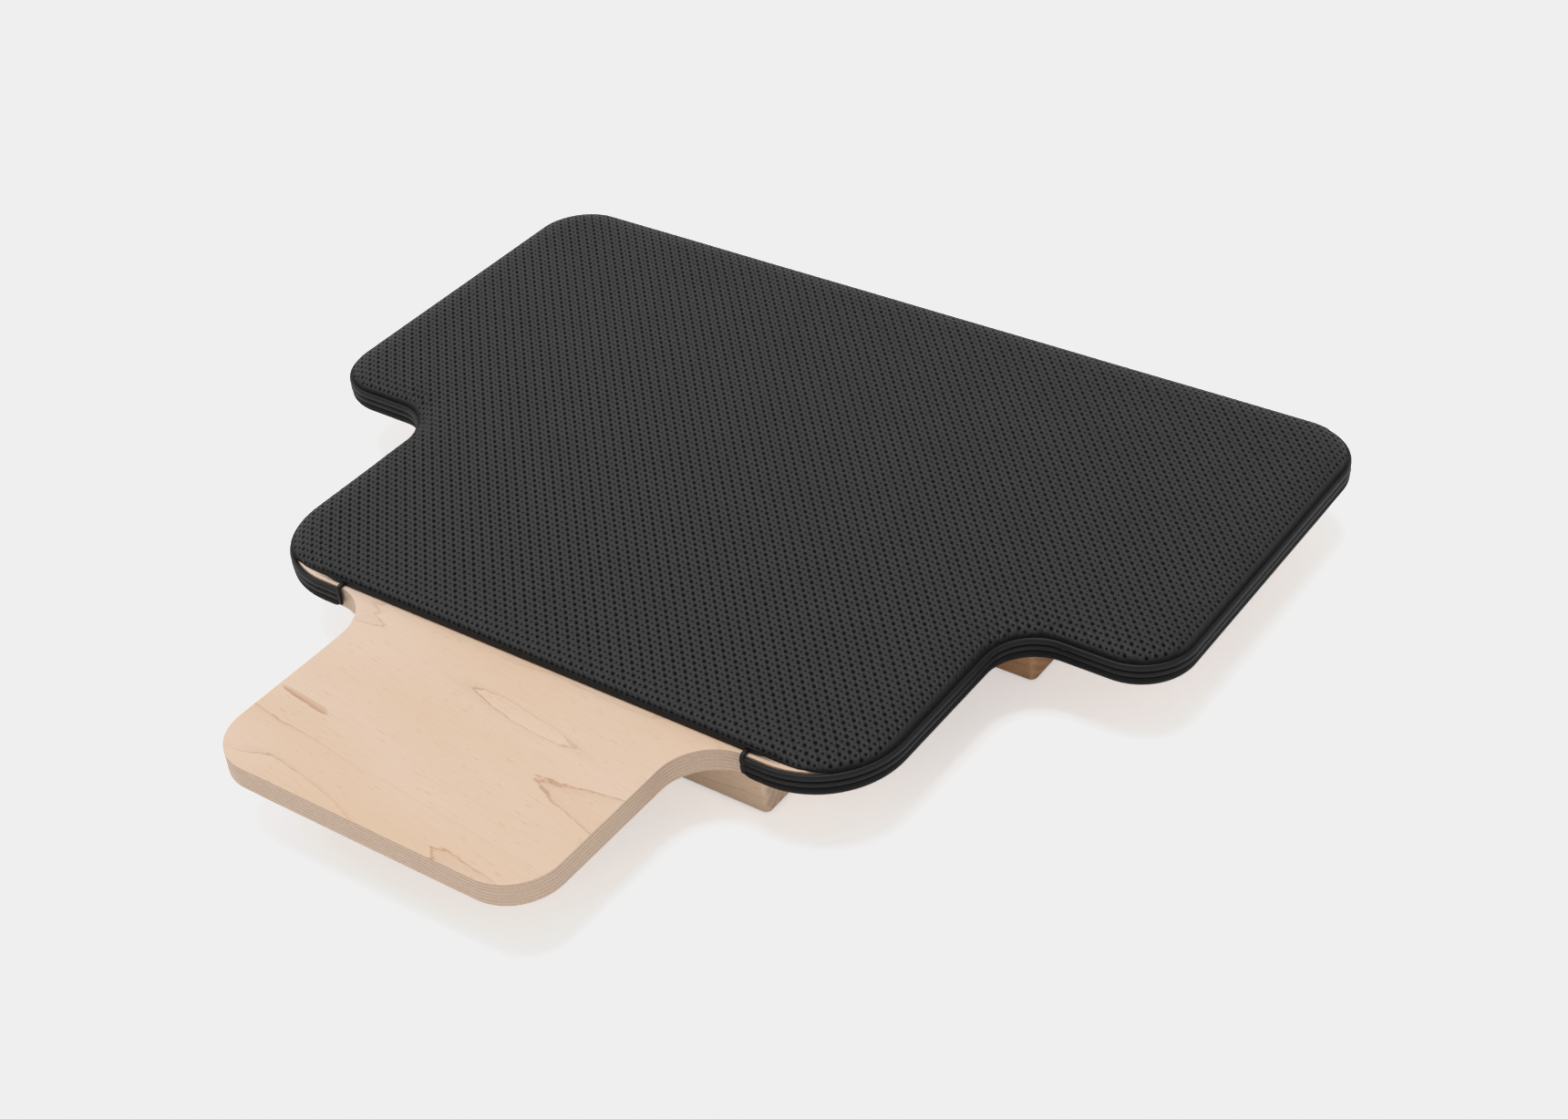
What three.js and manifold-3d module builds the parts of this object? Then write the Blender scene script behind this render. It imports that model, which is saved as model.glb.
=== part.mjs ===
// Balance board for standing work: a flat cross-shaped plywood deck on two maple cross beams,
// with a slip-on perforated foam topper that wraps the deck's edge and leaves a bare front tongue.
// Millimetres. +X is the user's right, -Y the front (the tongue), +Z up.
// The origin is on the floor, under the middle of the overall box.
import * as THREE from 'three';
import { mergeVertices } from 'three/addons/utils/BufferGeometryUtils.js';
import Module from 'manifold-3d';

// ---- Overall ----
const OVERALL_WIDTH = 680;          // across the topper's edge band
const OVERALL_DEPTH = 623.5;        // topper's rear edge to the tongue's front edge
const BAND_THICKNESS = 4;           // how far the topper's edge band stands out from the deck

// ---- Deck ----
const DECK_TOP = 60;
const DECK_THICKNESS = 16.25;
const DECK_BOTTOM = DECK_TOP - DECK_THICKNESS;
const DECK_HALF_WIDTH = OVERALL_WIDTH / 2 - BAND_THICKNESS;
const DECK_REAR_Y = OVERALL_DEPTH / 2 - BAND_THICKNESS;
const DECK_FRONT_Y = -OVERALL_DEPTH / 2;
const WING_FRONT_Y = 30;            // front edge of the wide rear part
const MID_HALF_WIDTH = 232.5;       // half width between the notches and the shoulders
const SHOULDER_Y = -151.75;         // front edge of the middle part, beside the tongue
const TONGUE_HALF_WIDTH = 125.5;
const REAR_CORNER_RADIUS = 40;
const WING_CORNER_RADIUS = 35;
const NOTCH_RADIUS = 35;
const SHOULDER_RADIUS = 56.5;
const TONGUE_FILLET_RADIUS = 36;
const TONGUE_CORNER_RADIUS = 35;

// ---- Cross beams ----
const BEAM_DEPTH = 60;
const BEAM_CORNER_RADIUS = 4;
const GRIP_THICKNESS = 1.75;        // the rubber pads that the beams stand on
const FRONT_BEAM = { halfLength: 162, frontY: -137, gripX: [-132, 0, 132], screwX: [-92, -42, 42, 92] };
const REAR_BEAM = { halfLength: 236, frontY: 47, gripX: [-200, 0, 200], screwX: [-140, -60, 60, 140] };
const GRIP_LENGTH = 44;
const GRIP_DEPTH = 36;
const GRIP_CORNER_RADIUS = 6;

// ---- Screws, driven up through each beam into the deck ----
const SCREW_HEAD_RADIUS = 4.8;
const SCREW_HEAD_HEIGHT = 3;
const SCREW_SHANK_RADIUS = 2.4;
const SCREW_LENGTH = 50;
const SCREW_RECESS = 4;             // how far the head sits up inside the beam's underside
const SCREW_SLOT_RADIUS = 2;
const SCREW_SLOT_DEPTH = 1.6;
const FIT_GAP = 0.3;                // clearance where one piece is cut for another

// ---- Topper ----
const BACKING_THICKNESS = 1;
const FILLING_INSET = 1.2;          // the foam and its backing stop this far inside the skin
const SKIN_THICKNESS = 1.2;
const SKIN_BOTTOM = DECK_TOP + 0.25;
const SKIN_EDGE_OFFSET = 1.7;       // seam line, outside the deck's edge
const EDGE_ROLL_WIDTH = 23.3;       // the pad's rounded edge, in plan
const PAD_RISE = 7.5;               // and in height
const PAD_FRONT_Y = -147.7;         // the pad's straight front edge
const FRONT_ROLL_WIDTH = 18;
const HEM_THICKNESS = 1.35;
const HEM_GAP = 0.25;
const HEM_HEIGHT = 4.5;
const POCKET_END_X = 160;           // where the edge band stops, beside the tongue
const PIPING = { offset: 2.2, z: 57.2, width: 1.8, height: 2.4 };
const SIDE_ROLL = { offset: 2.2, z: 52.6, width: 1.8, height: 2.05 };
const HEM_BAND_TOP = 50.4;
const HEM_BAND_BOTTOM = 43.9;
const BINDING_WIDTH = 2.5;
const BINDING_TOP = 61.5;

// ---- Smoothness: half the number of straight steps in an arc, and the steps in rolls and rounds ----
const DECK_ARC_STEPS = 7;
const SOFT_ARC_STEPS = 4;
const SMALL_ARC_STEPS = 2;
const ROLL_STEPS = 4;
const ROUND_SECTION_STEPS = 6;
const SCREW_STEPS = 12;

// ---- Materials ----
const maple = () => new THREE.MeshStandardMaterial({ color: 0xe3c8b3, roughness: 0.55, metalness: 0 });
const beamMaple = () => new THREE.MeshStandardMaterial({ color: 0xd2ac8c, roughness: 0.6, metalness: 0 });
const rubber = () => new THREE.MeshStandardMaterial({ color: 0x1c1c1e, roughness: 0.9, metalness: 0 });
const steel = () => new THREE.MeshStandardMaterial({ color: 0xa8a8a4, roughness: 0.35, metalness: 1 });
const foam = () => new THREE.MeshStandardMaterial({ color: 0x5a5a5c, roughness: 1, metalness: 0 });
const backing = () => new THREE.MeshStandardMaterial({ color: 0x2a2a2c, roughness: 0.95, metalness: 0 });
const skin = () => new THREE.MeshStandardMaterial({ color: 0x38383a, roughness: 0.6, metalness: 0 });
const trim = () => new THREE.MeshStandardMaterial({ color: 0x242426, roughness: 0.55, metalness: 0 });

const wasm = await Module();
wasm.setup();

function toManifold(geometry) {
  const bare = geometry.clone();
  bare.deleteAttribute('normal');
  bare.deleteAttribute('uv');
  const merged = mergeVertices(bare, 1e-4);
  return new wasm.Manifold(new wasm.Mesh({
    numProp: 3,
    vertProperties: new Float32Array(merged.attributes.position.array),
    triVerts: new Uint32Array(merged.index.array),
  }));
}

function fromManifold(solid) {
  const mesh = solid.getMesh();
  const geometry = new THREE.BufferGeometry();
  geometry.setAttribute('position', new THREE.BufferAttribute(new Float32Array(mesh.vertProperties), 3));
  geometry.setIndex(new THREE.BufferAttribute(new Uint32Array(mesh.triVerts), 1));
  geometry.computeVertexNormals();
  return geometry;
}

// A closed skin over a row of rings that all have the same number of points, with flat caps.
// The first ring faces back along the row. Rings run anticlockwise seen from the last ring.
function loft(rings, flatten) {
  const count = rings[0].length;
  const vertices = rings.flat().flatMap((point) => [point.x, point.y, point.z]);
  const triangles = [];
  for (let r = 0; r + 1 < rings.length; r += 1) {
    for (let i = 0; i < count; i += 1) {
      const a = r * count + i;
      const b = r * count + ((i + 1) % count);
      triangles.push(a, b, b + count, a, b + count, a + count);
    }
  }
  const last = (rings.length - 1) * count;
  for (const [a, b, c] of THREE.ShapeUtils.triangulateShape(rings[0].map(flatten), [])) {
    triangles.push(a, c, b);
  }
  for (const [a, b, c] of THREE.ShapeUtils.triangulateShape(rings.at(-1).map(flatten), [])) {
    triangles.push(last + a, last + b, last + c);
  }
  const geometry = new THREE.BufferGeometry();
  geometry.setAttribute('position', new THREE.Float32BufferAttribute(vertices, 3));
  geometry.setIndex(triangles);
  geometry.computeVertexNormals();
  return geometry;
}

// Corner arcs of the deck's right half from the shoulder to the rear, moved outwards by offset.
function upperRightArcs(offset) {
  return [
    {
      x: MID_HALF_WIDTH - SHOULDER_RADIUS, y: SHOULDER_Y + SHOULDER_RADIUS,
      radius: SHOULDER_RADIUS + offset, from: -Math.PI / 2, to: 0,
    },
    {
      x: MID_HALF_WIDTH + NOTCH_RADIUS, y: WING_FRONT_Y - NOTCH_RADIUS,
      radius: NOTCH_RADIUS - offset, from: Math.PI, to: Math.PI / 2,
    },
    {
      x: DECK_HALF_WIDTH - WING_CORNER_RADIUS, y: WING_FRONT_Y + WING_CORNER_RADIUS,
      radius: WING_CORNER_RADIUS + offset, from: -Math.PI / 2, to: 0,
    },
    {
      x: DECK_HALF_WIDTH - REAR_CORNER_RADIUS, y: DECK_REAR_Y - REAR_CORNER_RADIUS,
      radius: REAR_CORNER_RADIUS + offset, from: 0, to: Math.PI / 2,
    },
  ];
}

// The tongue's corner and the fillet where it leaves the shoulder.
function tongueArcs() {
  return [
    {
      x: TONGUE_HALF_WIDTH - TONGUE_CORNER_RADIUS, y: DECK_FRONT_Y + TONGUE_CORNER_RADIUS,
      radius: TONGUE_CORNER_RADIUS, from: -Math.PI / 2, to: 0,
    },
    {
      x: TONGUE_HALF_WIDTH + TONGUE_FILLET_RADIUS, y: SHOULDER_Y - TONGUE_FILLET_RADIUS,
      radius: TONGUE_FILLET_RADIUS, from: Math.PI, to: Math.PI / 2,
    },
  ];
}

// One symmetric outline through the right half's arcs and then the left half's, as points.
function symmetricOutline(rightArcs, steps, start = null) {
  const path = new THREE.Path();
  if (start) path.moveTo(start.x, start.y);
  for (const arc of rightArcs) {
    path.absarc(arc.x, arc.y, arc.radius, arc.from, arc.to, arc.to < arc.from);
  }
  for (const arc of [...rightArcs].reverse()) {
    path.absarc(-arc.x, arc.y, arc.radius, Math.PI - arc.to, Math.PI - arc.from, arc.to < arc.from);
  }
  if (start) path.lineTo(-start.x, start.y);
  return path.getPoints(steps);
}

// The pad's outline: the deck's edge moved by offset, cut straight across at frontY.
function padOutline(offset, frontY) {
  const arcs = upperRightArcs(offset);
  const shoulder = arcs[0];
  shoulder.from = Math.asin((frontY - shoulder.y) / shoulder.radius);
  return symmetricOutline(arcs, SOFT_ARC_STEPS);
}

// The edge band's open path, from the right pocket's end round the rear to the left pocket's end.
function bandPath(offset) {
  const start = { x: POCKET_END_X, y: SHOULDER_Y - offset };
  return symmetricOutline(upperRightArcs(offset), SOFT_ARC_STEPS, start);
}

const at = (points, z) => points.map((point) => new THREE.Vector3(point.x, point.y, z));
const flattenXY = (point) => new THREE.Vector2(point.x, point.y);
const flattenYZ = (point) => new THREE.Vector2(point.y, point.z);

function slab(points, bottom, top) {
  const geometry = new THREE.ExtrudeGeometry(new THREE.Shape(points), { depth: top - bottom, bevelEnabled: false });
  return geometry.translate(0, 0, bottom);
}

function roundedRectangle(halfX, halfY, radius) {
  const shape = new THREE.Shape();
  shape.absarc(halfX - radius, -halfY + radius, radius, -Math.PI / 2, 0, false);
  shape.absarc(halfX - radius, halfY - radius, radius, 0, Math.PI / 2, false);
  shape.absarc(-halfX + radius, halfY - radius, radius, Math.PI / 2, Math.PI, false);
  shape.absarc(-halfX + radius, -halfY + radius, radius, Math.PI, Math.PI * 1.5, false);
  return shape.getPoints(SMALL_ARC_STEPS);
}

// Rings up the pad's rounded edge: full size at the seam, then rolling in to the flat top.
function edgeRings(edgeOffset, frontY, bottom, rise) {
  const rings = [];
  for (let i = 0; i <= ROLL_STEPS; i += 1) {
    const angle = (i / ROLL_STEPS) * (Math.PI / 2);
    const inset = 1 - Math.cos(angle);
    const points = padOutline(edgeOffset - EDGE_ROLL_WIDTH * inset, frontY + FRONT_ROLL_WIDTH * inset);
    rings.push(at(points, bottom + rise * Math.sin(angle)));
  }
  return rings;
}

function skinGeometry() {
  const outer = edgeRings(SKIN_EDGE_OFFSET, PAD_FRONT_Y, SKIN_BOTTOM, PAD_RISE);
  const inner = edgeRings(
    SKIN_EDGE_OFFSET - SKIN_THICKNESS, PAD_FRONT_Y + SKIN_THICKNESS, SKIN_BOTTOM, PAD_RISE - SKIN_THICKNESS,
  );
  return loft([...inner.reverse(), ...outer], flattenXY);
}

function foamGeometry() {
  const inset = SKIN_THICKNESS + FILLING_INSET;
  const bottom = DECK_TOP + BACKING_THICKNESS;
  const top = SKIN_BOTTOM + PAD_RISE - SKIN_THICKNESS - FIT_GAP;
  return loft(edgeRings(SKIN_EDGE_OFFSET - inset, PAD_FRONT_Y + inset, bottom, top - bottom), flattenXY);
}

function backingGeometry() {
  const inset = SKIN_THICKNESS + FILLING_INSET;
  const points = padOutline(SKIN_EDGE_OFFSET - inset, PAD_FRONT_Y + inset);
  return slab(points, DECK_TOP, DECK_TOP + BACKING_THICKNESS);
}

// A section swept along the band's path. Each section point is an offset from the deck and a height.
function bandGeometry(section) {
  const lines = [...section].reverse().map(({ offset, z }) => at(bandPath(offset), z));
  const rings = lines[0].map((_, k) => lines.map((line) => line[k]));
  return loft(rings, flattenYZ);
}

function roundSection({ offset, z, width, height }) {
  return Array.from({ length: ROUND_SECTION_STEPS }, (_, i) => {
    const angle = ((i + 0.5) / ROUND_SECTION_STEPS) * Math.PI * 2;
    return { offset: offset + width * Math.cos(angle), z: z + height * Math.sin(angle) };
  });
}

// The hem under the rolls: flat against the deck's edge, curling in at the bottom.
function hemBandSection() {
  const inner = PIPING.offset - PIPING.width;
  const outer = PIPING.offset + PIPING.width;
  const section = [{ offset: inner, z: HEM_BAND_BOTTOM }];
  for (let i = 0; i <= ROLL_STEPS; i += 1) {
    const angle = -Math.PI / 2 + (i / ROLL_STEPS) * (Math.PI / 2);
    section.push({
      offset: inner + 0.8 + (outer - inner - 0.8) * Math.cos(angle),
      z: HEM_BAND_TOP - 1.2 + (HEM_BAND_TOP - 1.2 - HEM_BAND_BOTTOM) * Math.sin(angle),
    });
  }
  section.push({ offset: outer - 0.8, z: HEM_BAND_TOP });
  section.push({ offset: inner, z: HEM_BAND_TOP });
  return section;
}

// The turned hem along the pad's straight front edge, between the two pockets' bindings.
function frontHemGeometry() {
  const length = 2 * (POCKET_END_X + 30);
  const front = PAD_FRONT_Y - HEM_GAP - HEM_THICKNESS;
  const box = new THREE.BoxGeometry(length, HEM_THICKNESS, HEM_HEIGHT);
  return box.translate(0, front + HEM_THICKNESS / 2, DECK_TOP + HEM_HEIGHT / 2);
}

// A pocket's bound end: down the outside of the deck's shoulder, and back over it to the front hem.
function bindingGeometry() {
  const outerY = SHOULDER_Y - BAND_THICKNESS;
  const innerY = SHOULDER_Y - FIT_GAP;
  const backY = PAD_FRONT_Y - HEM_GAP - HEM_THICKNESS - FIT_GAP;
  const profile = new THREE.Shape();
  profile.moveTo(outerY, HEM_BAND_BOTTOM);
  profile.lineTo(innerY, HEM_BAND_BOTTOM);
  profile.lineTo(innerY, DECK_TOP);
  profile.lineTo(backY, DECK_TOP);
  profile.lineTo(backY, BINDING_TOP);
  profile.lineTo(outerY + 1, BINDING_TOP);
  profile.lineTo(outerY, BINDING_TOP - 1);
  const geometry = new THREE.ExtrudeGeometry(profile, { depth: BINDING_WIDTH, bevelEnabled: false });
  geometry.rotateY(Math.PI / 2);
  geometry.rotateX(Math.PI / 2);
  return geometry;
}

// A flat-headed wood screw standing on its head, with a round drive recess.
function screwGeometry() {
  const profile = [
    [0, SCREW_SLOT_DEPTH],
    [SCREW_SLOT_RADIUS, SCREW_SLOT_DEPTH],
    [SCREW_SLOT_RADIUS, 0],
    [SCREW_HEAD_RADIUS, 0],
    [SCREW_SHANK_RADIUS, SCREW_HEAD_HEIGHT],
    [SCREW_SHANK_RADIUS, SCREW_LENGTH - 5],
    [0, SCREW_LENGTH],
  ];
  return new THREE.LatheGeometry(profile.map(([r, z]) => new THREE.Vector2(r, z)), SCREW_STEPS).rotateX(Math.PI / 2);
}

// The space that a screw takes out of the wood, open at the beam's underside.
function screwHoleGeometry() {
  const head = SCREW_HEAD_RADIUS + FIT_GAP;
  const shank = SCREW_SHANK_RADIUS + FIT_GAP;
  const profile = [
    [0, -SCREW_RECESS - 1],
    [head, -SCREW_RECESS - 1],
    [head, FIT_GAP],
    [shank, SCREW_HEAD_HEIGHT + FIT_GAP],
    [shank, SCREW_LENGTH + FIT_GAP],
    [0, SCREW_LENGTH + FIT_GAP],
  ];
  return new THREE.LatheGeometry(profile.map(([r, z]) => new THREE.Vector2(r, z)), SCREW_STEPS).rotateX(Math.PI / 2);
}

const BEAM_BOTTOM = GRIP_THICKNESS;
const SCREW_Z = BEAM_BOTTOM + SCREW_RECESS;
const beamCentreY = (beam) => beam.frontY + BEAM_DEPTH / 2;

function drill(solid, beam, offsetY) {
  let result = solid;
  for (const x of beam.screwX) {
    result = result.subtract(toManifold(screwHoleGeometry().translate(x, offsetY, SCREW_Z)));
  }
  return result;
}

function deckGeometry() {
  const outline = symmetricOutline([...tongueArcs(), ...upperRightArcs(0)], DECK_ARC_STEPS);
  let solid = toManifold(slab(outline, DECK_BOTTOM, DECK_TOP));
  for (const beam of [FRONT_BEAM, REAR_BEAM]) solid = drill(solid, beam, beamCentreY(beam));
  return fromManifold(solid);
}

function beamGeometry(beam) {
  const outline = roundedRectangle(beam.halfLength, BEAM_DEPTH / 2, BEAM_CORNER_RADIUS);
  return fromManifold(drill(toManifold(slab(outline, BEAM_BOTTOM, DECK_BOTTOM)), beam, 0));
}

const gripGeometry = () => slab(roundedRectangle(GRIP_LENGTH / 2, GRIP_DEPTH / 2, GRIP_CORNER_RADIUS), 0, GRIP_THICKNESS);

function addMesh(parent, name, geometry, material, x = 0, y = 0, z = 0) {
  const mesh = new THREE.Mesh(geometry, material);
  mesh.name = name;
  mesh.position.set(x, y, z);
  parent.add(mesh);
}

// ---- Assembly ----
const board = new THREE.Group();

const base = new THREE.Group();
board.add(base);
addMesh(base, 'deck', deckGeometry(), maple());
for (const [label, beam] of [['front', FRONT_BEAM], ['rear', REAR_BEAM]]) {
  const group = new THREE.Group();
  group.position.set(0, beamCentreY(beam), 0);
  base.add(group);
  addMesh(group, `${label}_beam`, beamGeometry(beam), beamMaple());
  beam.gripX.forEach((x, i) => addMesh(group, `${label}_grip_pad_${i + 1}`, gripGeometry(), rubber(), x));
  beam.screwX.forEach((x, i) => addMesh(group, `${label}_screw_${i + 1}`, screwGeometry(), steel(), x, 0, SCREW_Z));
}

const topper = new THREE.Group();
board.add(topper);
addMesh(topper, 'topper_backing', backingGeometry(), backing());
addMesh(topper, 'foam_core', foamGeometry(), foam());
addMesh(topper, 'perforated_skin', skinGeometry(), skin());
addMesh(topper, 'piping', bandGeometry(roundSection(PIPING)), trim());
addMesh(topper, 'side_roll', bandGeometry(roundSection(SIDE_ROLL)), trim());
addMesh(topper, 'hem_band', bandGeometry(hemBandSection()), trim());
addMesh(topper, 'front_hem', frontHemGeometry(), trim());
addMesh(topper, 'left_pocket_binding', bindingGeometry(), trim(), -POCKET_END_X);
addMesh(topper, 'right_pocket_binding', bindingGeometry(), trim(), POCKET_END_X);

export default board;
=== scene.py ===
"""Looks of a balance board: a flat plywood deck on two cross beams, under a slip-on perforated topper.

Metres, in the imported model's own frame: +X is the user's right, -Y the front (the bare tongue), +Z up.
"""

import math

import bpy
import numpy as np
from mathutils import Matrix, Vector
from mathutils.geometry import delaunay_2d_cdt
from mathutils.kdtree import KDTree


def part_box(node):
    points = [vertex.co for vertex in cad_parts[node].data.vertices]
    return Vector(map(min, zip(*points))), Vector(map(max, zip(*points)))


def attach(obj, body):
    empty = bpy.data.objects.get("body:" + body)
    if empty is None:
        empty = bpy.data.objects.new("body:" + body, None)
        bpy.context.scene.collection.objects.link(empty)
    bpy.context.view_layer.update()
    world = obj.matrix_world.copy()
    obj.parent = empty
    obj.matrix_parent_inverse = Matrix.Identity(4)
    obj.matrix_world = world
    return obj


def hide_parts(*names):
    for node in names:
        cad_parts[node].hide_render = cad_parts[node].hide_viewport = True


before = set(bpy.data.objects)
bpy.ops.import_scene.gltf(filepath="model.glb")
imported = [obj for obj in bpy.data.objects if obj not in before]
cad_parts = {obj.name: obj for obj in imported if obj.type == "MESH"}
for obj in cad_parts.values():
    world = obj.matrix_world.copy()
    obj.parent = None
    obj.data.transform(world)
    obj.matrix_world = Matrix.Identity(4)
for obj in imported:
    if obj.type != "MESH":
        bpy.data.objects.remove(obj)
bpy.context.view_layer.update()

MM = 0.001

# ---- Sizes read from the frame ----
deck_low, deck_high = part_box("deck")
skin_low, skin_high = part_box("perforated_skin")
piping_low, piping_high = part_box("piping")
roll_low, roll_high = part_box("side_roll")
hem_low, hem_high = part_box("hem_band")
front_hem_low, front_hem_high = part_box("front_hem")

DECK_TOP = deck_high.z
DECK_HALF_WIDTH = deck_high.x
DECK_REAR_Y = deck_high.y
SEAM_OFFSET = skin_high.x - DECK_HALF_WIDTH      # the pad's seam, outside the deck's edge
BAND_OUT = piping_high.x - DECK_HALF_WIDTH       # how far the edge band stands out
PAD_TOP = skin_high.z
PAD_BOTTOM = skin_low.z
PAD_FRONT_Y = skin_low.y

# ---- The deck's outline, as the CAD model has it ----
WING_FRONT_Y = 30 * MM
MID_HALF_WIDTH = 232.5 * MM
SHOULDER_Y = -151.75 * MM
SHOULDER_RADIUS = 56.5 * MM
NOTCH_RADIUS = 35 * MM
WING_RADIUS = 35 * MM
REAR_RADIUS = 40 * MM
POCKET_END_X = 160 * MM

# ---- The pad's rounded edge and its holes ----
SIDE_ROLL_WIDTH = 23.3 * MM
FRONT_ROLL_WIDTH = 14 * MM
PAD_RISE = PAD_TOP - PAD_BOTTOM
FOAM_UNEVENNESS = 0.16 * MM      # slow relief of the top
TOP_MARGIN = 0.35 * MM           # the top stays this far under the CAD pad's, to leave room for the relief
RIM_CLEARANCE = 0.15 * MM        # how far the rim comes down past the top of the piping
SEAM_FADE = 6 * MM               # wrinkles die out this near to the seam
HOLE_PITCH_X = 4.17 * MM
HOLE_PITCH_Y = 4.57 * MM
HOLE_HALF_LENGTH = 1.80 * MM     # each punched slit runs along the diagonal of its cell
HOLE_HALF_WIDTH = 1.08 * MM
HOLE_CONTRAST = 0.20             # every other hole is this much larger, and its neighbours smaller
HOLE_JITTER = 0.16 * MM          # full range of a hole's displacement
HOLE_EDGE_ZONE = 26 * MM         # nearer than this to the seam they grow rounder and more alike
HOLE_DEPTH = 2.1 * MM
HOLE_SIDES = 6
FURROW_SHADE = 0.80              # how dark the painted shade in the furrows between the rows of holes is
PLAIN_STRIP = 3.5 * MM           # sheet without holes beside the seam
PAD_OUTLINE_STEP = 4.5 * MM      # coarse, so that the pad stays under 200,000 triangles
SEAM_STEP = 0.5 * MM             # the finer outline on which the sheet is laid
SAME_POINT = 1e-7

# ---- The edge band, hems and bindings ----
OUTLINE_STEP = 2.2 * MM
BAND_INSIDE = 0.4 * MM           # the rolls start this far outside the deck's edge
ROLL_STITCH = 3.2 * MM
HEM_STITCH = 5.0 * MM
FRONT_STITCH = 3.6 * MM
HEM_END_RADIUS = 7 * MM          # the lower corner of the hem at each pocket
FRONT_HEM_SHORTER = 6 * MM       # than the CAD solid, at each end
BINDING_HALF_THICKNESS = 1.2 * MM
BINDING_BEND = 2.4 * MM
CREASE_ANGLE = 50                # degrees; sharper edges of a swept piece are drawn sharp

# ---- Rounded edges of the CAD nodes ----
DECK_EDGE = 0.6 * MM
BEAM_EDGE = 1.2 * MM
GRIP_EDGE = 0.35 * MM
SCREW_EDGE = 0.25 * MM


# ======================================================================
# Outlines
# ======================================================================

def right_arcs(offset):
    """The right half's corners from the front, moved outwards: centre, radius, first angle, turn."""
    return [
        (MID_HALF_WIDTH - SHOULDER_RADIUS, SHOULDER_Y + SHOULDER_RADIUS, SHOULDER_RADIUS + offset, -90, 90),
        (MID_HALF_WIDTH + NOTCH_RADIUS, WING_FRONT_Y - NOTCH_RADIUS, NOTCH_RADIUS - offset, 180, -90),
        (DECK_HALF_WIDTH - WING_RADIUS, WING_FRONT_Y + WING_RADIUS, WING_RADIUS + offset, -90, 90),
        (DECK_HALF_WIDTH - REAR_RADIUS, DECK_REAR_Y - REAR_RADIUS, REAR_RADIUS + offset, 0, 90),
    ]


def spaced_line(start, end, normal, step):
    """Points from start up to, but not at, end, each with the same normal."""
    length = math.hypot(end[0] - start[0], end[1] - start[1])
    count = max(1, round(length / step))
    return [
        (start[0] + (end[0] - start[0]) * i / count, start[1] + (end[1] - start[1]) * i / count, *normal)
        for i in range(count)
    ]


def right_side(offset, step, front_y=None):
    """Points and outward normals (x, y, nx, ny) from the front to the rear middle.

    With front_y the outline starts where a straight front edge at that y cuts the shoulder's arc.
    Without it, it starts at the pocket's end beside the tongue.
    """
    points = []
    for i, (cx, cy, radius, first, turn) in enumerate(right_arcs(offset)):
        if i == 0 and front_y is not None:
            cut = math.degrees(math.asin((front_y - cy) / radius))
            first, turn = cut, -cut
        concave = turn < 0
        a = math.radians(first)
        start = (cx + radius * math.cos(a), cy + radius * math.sin(a))
        if i == 0 and front_y is None:
            points += spaced_line((POCKET_END_X, SHOULDER_Y - offset), start, (0, -1), step)
        if points and i > 0:
            previous = points.pop()
            points += spaced_line(previous[:2], start, previous[2:], step)
        count = max(3, round(abs(math.radians(turn)) * radius / step))
        for k in range(count + 1):
            angle = math.radians(first + turn * k / count)
            out = -1 if concave else 1
            points.append((
                cx + radius * math.cos(angle),
                cy + radius * math.sin(angle),
                out * math.cos(angle),
                out * math.sin(angle),
            ))
    last = points.pop()
    return points + spaced_line(last[:2], (0, last[1]), (0, 1), step) + [(0, last[1], 0, 1)]


def both_sides(right):
    """A right side and its mirror image, anticlockwise, with the rear middle once."""
    left = [(-x, y, -nx, ny) for x, y, nx, ny in reversed(right[:-1])]
    return np.array(right + left)


# ======================================================================
# Mesh helpers
# ======================================================================

def make_object(name, vertices, faces, material, body, smooth_angle=None):
    mesh = bpy.data.meshes.new(name)
    mesh.from_pydata([tuple(map(float, v)) for v in vertices], [], [tuple(map(int, f)) for f in faces])
    mesh.validate()
    mesh.update()
    mesh.polygons.foreach_set("use_smooth", [True] * len(mesh.polygons))
    obj = bpy.data.objects.new(name, mesh)
    bpy.context.scene.collection.objects.link(obj)
    mesh.materials.append(material)
    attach(obj, body)
    if smooth_angle is not None:
        mesh.set_sharp_from_angle(angle=math.radians(smooth_angle))
    return obj


def add_attribute(obj, name, values):
    values = np.asarray(values, np.float32)
    kind, key = ("FLOAT_VECTOR", "vector") if values.ndim == 2 else ("FLOAT", "value")
    attribute = obj.data.attributes.new(name, kind, "POINT")
    attribute.data.foreach_set(key, values.ravel())


def tube_faces(rows, sides):
    """Quads round and along a tube of that many rows of points, and its two caps."""
    faces = []
    for i in range(rows - 1):
        for k in range(sides):
            a, b = i * sides + k, i * sides + (k + 1) % sides
            faces.append((a, b, b + sides, a + sides))
    last = (rows - 1) * sides
    return faces + [tuple(reversed(range(sides))), tuple(range(last, last + sides))]


def sweep(name, stations, section, material, body, wobble=None):
    """A closed section of (offset, z) pairs carried along stations of (x, y, nx, ny)."""
    count = len(section)
    vertices = []
    along = np.concatenate([[0], np.cumsum(np.hypot(*np.diff(stations[:, :2], axis=0).T))])
    for i, (x, y, nx, ny) in enumerate(stations):
        for k, (offset, z) in enumerate(section):
            extra, lift = wobble(along[i], k / count) if wobble else (0, 0)
            out = offset + extra
            vertices.append((x + nx * out, y + ny * out, z + lift))
    obj = make_object(name, vertices, tube_faces(len(stations), count), material, body, CREASE_ANGLE)
    add_attribute(obj, "along", np.repeat(along, count))
    return obj


# ======================================================================
# Material helpers
# ======================================================================

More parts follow.
